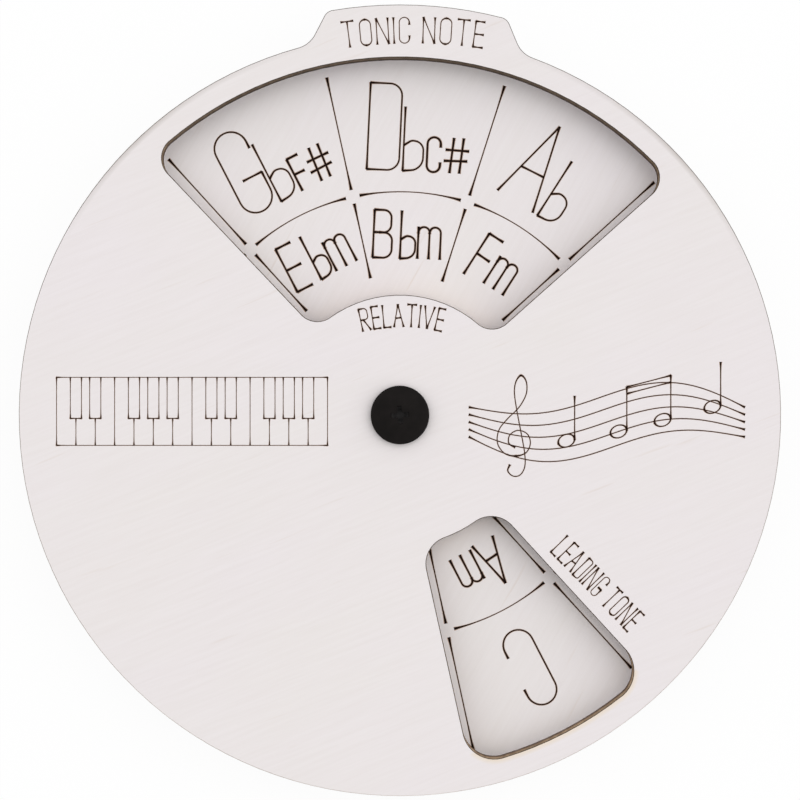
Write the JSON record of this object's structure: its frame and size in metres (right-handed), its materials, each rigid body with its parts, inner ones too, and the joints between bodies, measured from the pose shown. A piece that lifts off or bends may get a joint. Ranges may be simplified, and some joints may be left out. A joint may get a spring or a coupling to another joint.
{
  "type": "circle of fifths wheel",
  "caption": "Flat wooden music reference wheel: a tabbed disc with sector windows turns over an engraved dial of keys on a central binding screw.",
  "frame": {"origin": "centre of the flat face of the pivot post's rear head, on the pivot axis", "axes": "+Z along the pivot out of the front face, +Y towards the finger tab, +X to the right as the front is read"},
  "size_m": [0.13, 0.135, 0.0099],
  "materials": {
    "plate_wood": "bare sanded plywood with laser-burnt edges",
    "dial_wood": "bare sanded plywood with laser-burnt engraving",
    "washer_nylon": "plain nylon",
    "black_metal": "matte black coating"
  },
  "bodies": {
    "plate": {"selector_plate": "plate_wood", "spacer_washer": "washer_nylon", "pivot_post": "black_metal", "pivot_screw": "black_metal"},
    "dial": {"key_dial": "dial_wood"}
  },
  "joints": [
    {"name": "dial_turn", "type": "hinge", "parent": "plate", "child": "dial", "pos_m": [0, 0, 0.00275], "axis": [0, 0, 1], "continuous": true}
  ]
}
